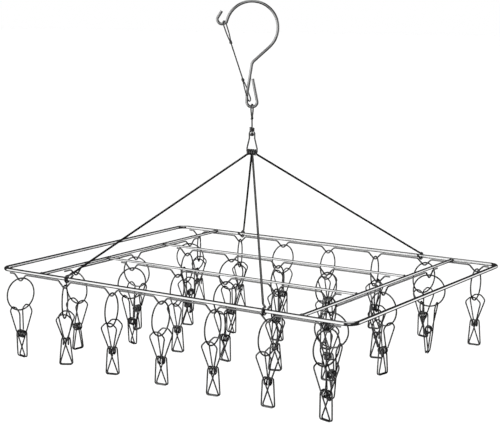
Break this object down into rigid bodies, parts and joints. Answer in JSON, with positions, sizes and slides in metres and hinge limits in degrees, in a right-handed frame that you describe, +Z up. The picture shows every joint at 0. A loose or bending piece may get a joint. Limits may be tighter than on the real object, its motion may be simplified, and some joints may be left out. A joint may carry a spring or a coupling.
{
  "type": "clip drying hanger",
  "caption": "Flat rectangular steel wire frame with rows of spring clips on rings, hung by stay wires, swivel links and a latched round hook.",
  "frame": {"origin": "top of the inside of the hook, where the rail that carries the hanger touches it", "axes": "+Z up, +X along the long rails to the right, -Y to the front rail"},
  "size_m": [0.434, 0.3494, 0.3751],
  "materials": {
    "polished_rod": "bright polished stainless rod",
    "drawn_wire": "bright drawn stainless wire",
    "spring_wire": "bright spring stainless wire"
  },
  "bodies": {
    "hook": {"hook": "polished_rod"},
    "gate": {"hook_gate": "drawn_wire"},
    "upper_link": {"upper_link": "drawn_wire"},
    "lower_link": {"lower_link": "drawn_wire"},
    "frame": {"outer_frame": "polished_rod", "cross_bar_left": "polished_rod", "cross_bar_right": "polished_rod", "inner_rail_front": "polished_rod", "inner_rail_back": "polished_rod", "dip_wire_front_rail": "drawn_wire", "dip_wire_back_rail": "drawn_wire", "dip_wire_inner_front": "drawn_wire", "dip_wire_inner_back": "drawn_wire", "dip_wire_left_bar": "drawn_wire", "dip_wire_right_bar": "drawn_wire", "stay_front_left": "drawn_wire", "stay_front_right": "drawn_wire", "stay_back_left": "drawn_wire", "stay_back_right": "drawn_wire"},
    "clip_front_rail_1": {"clip_front_rail_1": "spring_wire"},
    "ring_front_rail_2": {"ring_front_rail_2": "drawn_wire"},
    "clip_back_front_rail_2": {"clip_back_front_rail_2": "spring_wire"},
    "clip_front_front_rail_2": {"clip_front_front_rail_2": "spring_wire"},
    "ring_front_rail_3": {"ring_front_rail_3": "drawn_wire"},
    "clip_back_front_rail_3": {"clip_back_front_rail_3": "spring_wire"},
    "clip_front_front_rail_3": {"clip_front_front_rail_3": "spring_wire"},
    "ring_front_rail_4": {"ring_front_rail_4": "drawn_wire"},
    "clip_back_front_rail_4": {"clip_back_front_rail_4": "spring_wire"},
    "clip_front_front_rail_4": {"clip_front_front_rail_4": "spring_wire"},
    "ring_front_rail_5": {"ring_front_rail_5": "drawn_wire"},
    "clip_back_front_rail_5": {"clip_back_front_rail_5": "spring_wire"},
    "clip_front_front_rail_5": {"clip_front_front_rail_5": "spring_wire"},
    "ring_front_rail_6": {"ring_front_rail_6": "drawn_wire"},
    "clip_back_front_rail_6": {"clip_back_front_rail_6": "spring_wire"},
    "clip_front_front_rail_6": {"clip_front_front_rail_6": "spring_wire"},
    "clip_front_rail_7": {"clip_front_rail_7": "spring_wire"},
    "clip_back_rail_1": {"clip_back_rail_1": "spring_wire"},
    "clip_back_rail_2": {"clip_back_rail_2": "spring_wire"},
    "clip_back_rail_3": {"clip_back_rail_3": "spring_wire"},
    "clip_back_rail_4": {"clip_back_rail_4": "spring_wire"},
    "clip_back_rail_5": {"clip_back_rail_5": "spring_wire"},
    "clip_back_rail_6": {"clip_back_rail_6": "spring_wire"},
    "clip_back_rail_7": {"clip_back_rail_7": "spring_wire"},
    "clip_inner_front_rail_1": {"clip_inner_front_rail_1": "spring_wire"},
    "clip_inner_front_rail_2": {"clip_inner_front_rail_2": "spring_wire"},
    "clip_inner_front_rail_3": {"clip_inner_front_rail_3": "spring_wire"},
    "clip_inner_front_rail_4": {"clip_inner_front_rail_4": "spring_wire"},
    "clip_inner_front_rail_5": {"clip_inner_front_rail_5": "spring_wire"},
    "clip_inner_back_rail_1": {"clip_inner_back_rail_1": "spring_wire"},
    "clip_inner_back_rail_2": {"clip_inner_back_rail_2": "spring_wire"},
    "clip_inner_back_rail_3": {"clip_inner_back_rail_3": "spring_wire"},
    "clip_inner_back_rail_4": {"clip_inner_back_rail_4": "spring_wire"},
    "clip_inner_back_rail_5": {"clip_inner_back_rail_5": "spring_wire"},
    "clip_left_bar_1": {"clip_left_bar_1": "spring_wire"},
    "clip_left_bar_2": {"clip_left_bar_2": "spring_wire"},
    "clip_left_bar_3": {"clip_left_bar_3": "spring_wire"},
    "clip_right_bar_1": {"clip_right_bar_1": "spring_wire"},
    "clip_right_bar_2": {"clip_right_bar_2": "spring_wire"},
    "clip_right_bar_3": {"clip_right_bar_3": "spring_wire"}
  },
  "joints": [
    {"name": "gate_lift", "type": "slide", "parent": "hook", "child": "gate", "axis": [0.1299, 0.0893, 0.9875], "range_m": [0, 0.014]},
    {"name": "link_swing", "type": "hinge", "parent": "hook", "child": "upper_link", "pos_m": [0, 0, -0.1082], "axis": [0.8241, 0.5664, 0], "range_deg": [-25, 25]},
    {"name": "swivel", "type": "hinge", "parent": "upper_link", "child": "lower_link", "pos_m": [0, 0, -0.1372], "axis": [0, 0, 1], "continuous": true},
    {"name": "frame_swing", "type": "hinge", "parent": "lower_link", "child": "frame", "pos_m": [0, 0, -0.1558], "axis": [1, 0, 0], "range_deg": [-20, 20]},
    {"name": "swing_front_rail_1", "type": "hinge", "parent": "frame", "child": "clip_front_rail_1", "pos_m": [-0.1884, -0.1575, -0.2895], "axis": [1, 0, 0], "range_deg": [-25, 25]},
    {"name": "ring_swing_2", "type": "hinge", "parent": "frame", "child": "ring_front_rail_2", "pos_m": [-0.1256, -0.1575, -0.2895], "axis": [1, 0, 0], "range_deg": [-25, 25]},
    {"name": "clip_swing_2", "type": "hinge", "parent": "ring_front_rail_2", "child": "clip_back_front_rail_2", "pos_m": [-0.1256, -0.1575, -0.31864], "axis": [-0.5446, 0.8387, 0], "range_deg": [-18, 18]},
    {"name": "jaw_open_2", "type": "hinge", "parent": "clip_back_front_rail_2", "child": "clip_front_front_rail_2", "pos_m": [-0.1256, -0.1575, -0.34565], "axis": [-0.8387, -0.5446, 0], "range_deg": [0, 12], "stiffness_Nm_per_rad": 0.1, "springref_deg": -20.05},
    {"name": "ring_swing_3", "type": "hinge", "parent": "frame", "child": "ring_front_rail_3", "pos_m": [-0.0628, -0.1575, -0.2895], "axis": [1, 0, 0], "range_deg": [-25, 25]},
    {"name": "clip_swing_3", "type": "hinge", "parent": "ring_front_rail_3", "child": "clip_back_front_rail_3", "pos_m": [-0.0628, -0.1575, -0.31864], "axis": [-0.309, 0.9511, 0], "range_deg": [-18, 18]},
    {"name": "jaw_open_3", "type": "hinge", "parent": "clip_back_front_rail_3", "child": "clip_front_front_rail_3", "pos_m": [-0.0628, -0.1575, -0.34565], "axis": [-0.9511, -0.309, 0], "range_deg": [0, 12], "stiffness_Nm_per_rad": 0.1, "springref_deg": -20.05},
    {"name": "ring_swing_4", "type": "hinge", "parent": "frame", "child": "ring_front_rail_4", "pos_m": [0, -0.1575, -0.2895], "axis": [1, 0, 0], "range_deg": [-25, 25]},
    {"name": "clip_swing_4", "type": "hinge", "parent": "ring_front_rail_4", "child": "clip_back_front_rail_4", "pos_m": [0, -0.1575, -0.31864], "axis": [-0.1392, 0.9903, 0], "range_deg": [-18, 18]},
    {"name": "jaw_open_4", "type": "hinge", "parent": "clip_back_front_rail_4", "child": "clip_front_front_rail_4", "pos_m": [0, -0.1575, -0.34565], "axis": [-0.9903, -0.1392, 0], "range_deg": [0, 12], "stiffness_Nm_per_rad": 0.1, "springref_deg": -20.05},
    {"name": "ring_swing_5", "type": "hinge", "parent": "frame", "child": "ring_front_rail_5", "pos_m": [0.0628, -0.1575, -0.2895], "axis": [1, 0, 0], "range_deg": [-25, 25]},
    {"name": "clip_swing_5", "type": "hinge", "parent": "ring_front_rail_5", "child": "clip_back_front_rail_5", "pos_m": [0.0628, -0.1575, -0.31864], "axis": [-0.1564, 0.9877, 0], "range_deg": [-18, 18]},
    {"name": "jaw_open_5", "type": "hinge", "parent": "clip_back_front_rail_5", "child": "clip_front_front_rail_5", "pos_m": [0.0628, -0.1575, -0.34565], "axis": [-0.9877, -0.1564, 0], "range_deg": [0, 12], "stiffness_Nm_per_rad": 0.1, "springref_deg": -20.05},
    {"name": "ring_swing_6", "type": "hinge", "parent": "frame", "child": "ring_front_rail_6", "pos_m": [0.1256, -0.1575, -0.2895], "axis": [1, 0, 0], "range_deg": [-25, 25]},
    {"name": "clip_swing_6", "type": "hinge", "parent": "ring_front_rail_6", "child": "clip_back_front_rail_6", "pos_m": [0.1256, -0.1575, -0.31864], "axis": [-0.0349, 0.9994, 0], "range_deg": [-18, 18]},
    {"name": "jaw_open_6", "type": "hinge", "parent": "clip_back_front_rail_6", "child": "clip_front_front_rail_6", "pos_m": [0.1256, -0.1575, -0.34565], "axis": [-0.9994, -0.0349, 0], "range_deg": [0, 12], "stiffness_Nm_per_rad": 0.1, "springref_deg": -20.05},
    {"name": "swing_front_rail_7", "type": "hinge", "parent": "frame", "child": "clip_front_rail_7", "pos_m": [0.1884, -0.1575, -0.2895], "axis": [1, 0, 0], "range_deg": [-25, 25]},
    {"name": "swing_back_rail_1", "type": "hinge", "parent": "frame", "child": "clip_back_rail_1", "pos_m": [-0.1884, 0.1575, -0.2895], "axis": [1, 0, 0], "range_deg": [-25, 25]},
    {"name": "swing_back_rail_2", "type": "hinge", "parent": "frame", "child": "clip_back_rail_2", "pos_m": [-0.1256, 0.1575, -0.2895], "axis": [1, 0, 0], "range_deg": [-25, 25]},
    {"name": "swing_back_rail_3", "type": "hinge", "parent": "frame", "child": "clip_back_rail_3", "pos_m": [-0.0628, 0.1575, -0.2895], "axis": [1, 0, 0], "range_deg": [-25, 25]},
    {"name": "swing_back_rail_4", "type": "hinge", "parent": "frame", "child": "clip_back_rail_4", "pos_m": [0, 0.1575, -0.2895], "axis": [1, 0, 0], "range_deg": [-25, 25]},
    {"name": "swing_back_rail_5", "type": "hinge", "parent": "frame", "child": "clip_back_rail_5", "pos_m": [0.0628, 0.1575, -0.2895], "axis": [1, 0, 0], "range_deg": [-25, 25]},
    {"name": "swing_back_rail_6", "type": "hinge", "parent": "frame", "child": "clip_back_rail_6", "pos_m": [0.1256, 0.1575, -0.2895], "axis": [1, 0, 0], "range_deg": [-25, 25]},
    {"name": "swing_back_rail_7", "type": "hinge", "parent": "frame", "child": "clip_back_rail_7", "pos_m": [0.1884, 0.1575, -0.2895], "axis": [1, 0, 0], "range_deg": [-25, 25]},
    {"name": "swing_inner_front_rail_1", "type": "hinge", "parent": "frame", "child": "clip_inner_front_rail_1", "pos_m": [-0.1256, -0.05, -0.2895], "axis": [1, 0, 0], "range_deg": [-25, 25]},
    {"name": "swing_inner_front_rail_2", "type": "hinge", "parent": "frame", "child": "clip_inner_front_rail_2", "pos_m": [-0.0628, -0.05, -0.2895], "axis": [1, 0, 0], "range_deg": [-25, 25]},
    {"name": "swing_inner_front_rail_3", "type": "hinge", "parent": "frame", "child": "clip_inner_front_rail_3", "pos_m": [0, -0.05, -0.2895], "axis": [1, 0, 0], "range_deg": [-25, 25]},
    {"name": "swing_inner_front_rail_4", "type": "hinge", "parent": "frame", "child": "clip_inner_front_rail_4", "pos_m": [0.0628, -0.05, -0.2895], "axis": [1, 0, 0], "range_deg": [-25, 25]},
    {"name": "swing_inner_front_rail_5", "type": "hinge", "parent": "frame", "child": "clip_inner_front_rail_5", "pos_m": [0.1256, -0.05, -0.2895], "axis": [1, 0, 0], "range_deg": [-25, 25]},
    {"name": "swing_inner_back_rail_1", "type": "hinge", "parent": "frame", "child": "clip_inner_back_rail_1", "pos_m": [-0.1256, 0.05, -0.2895], "axis": [1, 0, 0], "range_deg": [-25, 25]},
    {"name": "swing_inner_back_rail_2", "type": "hinge", "parent": "frame", "child": "clip_inner_back_rail_2", "pos_m": [-0.0628, 0.05, -0.2895], "axis": [1, 0, 0], "range_deg": [-25, 25]},
    {"name": "swing_inner_back_rail_3", "type": "hinge", "parent": "frame", "child": "clip_inner_back_rail_3", "pos_m": [0, 0.05, -0.2895], "axis": [1, 0, 0], "range_deg": [-25, 25]},
    {"name": "swing_inner_back_rail_4", "type": "hinge", "parent": "frame", "child": "clip_inner_back_rail_4", "pos_m": [0.0628, 0.05, -0.2895], "axis": [1, 0, 0], "range_deg": [-25, 25]},
    {"name": "swing_inner_back_rail_5", "type": "hinge", "parent": "frame", "child": "clip_inner_back_rail_5", "pos_m": [0.1256, 0.05, -0.2895], "axis": [1, 0, 0], "range_deg": [-25, 25]},
    {"name": "swing_left_bar_1", "type": "hinge", "parent": "frame", "child": "clip_left_bar_1", "pos_m": [-0.16, -0.1016, -0.2895], "axis": [0, 1, 0], "range_deg": [-25, 25]},
    {"name": "swing_left_bar_2", "type": "hinge", "parent": "frame", "child": "clip_left_bar_2", "pos_m": [-0.16, 0, -0.2895], "axis": [0, 1, 0], "range_deg": [-25, 25]},
    {"name": "swing_left_bar_3", "type": "hinge", "parent": "frame", "child": "clip_left_bar_3", "pos_m": [-0.16, 0.1016, -0.2895], "axis": [0, 1, 0], "range_deg": [-25, 25]},
    {"name": "swing_right_bar_1", "type": "hinge", "parent": "frame", "child": "clip_right_bar_1", "pos_m": [0.16, -0.1016, -0.2895], "axis": [0, 1, 0], "range_deg": [-25, 25]},
    {"name": "swing_right_bar_2", "type": "hinge", "parent": "frame", "child": "clip_right_bar_2", "pos_m": [0.16, 0, -0.2895], "axis": [0, 1, 0], "range_deg": [-25, 25]},
    {"name": "swing_right_bar_3", "type": "hinge", "parent": "frame", "child": "clip_right_bar_3", "pos_m": [0.16, 0.1016, -0.2895], "axis": [0, 1, 0], "range_deg": [-25, 25]}
  ]
}
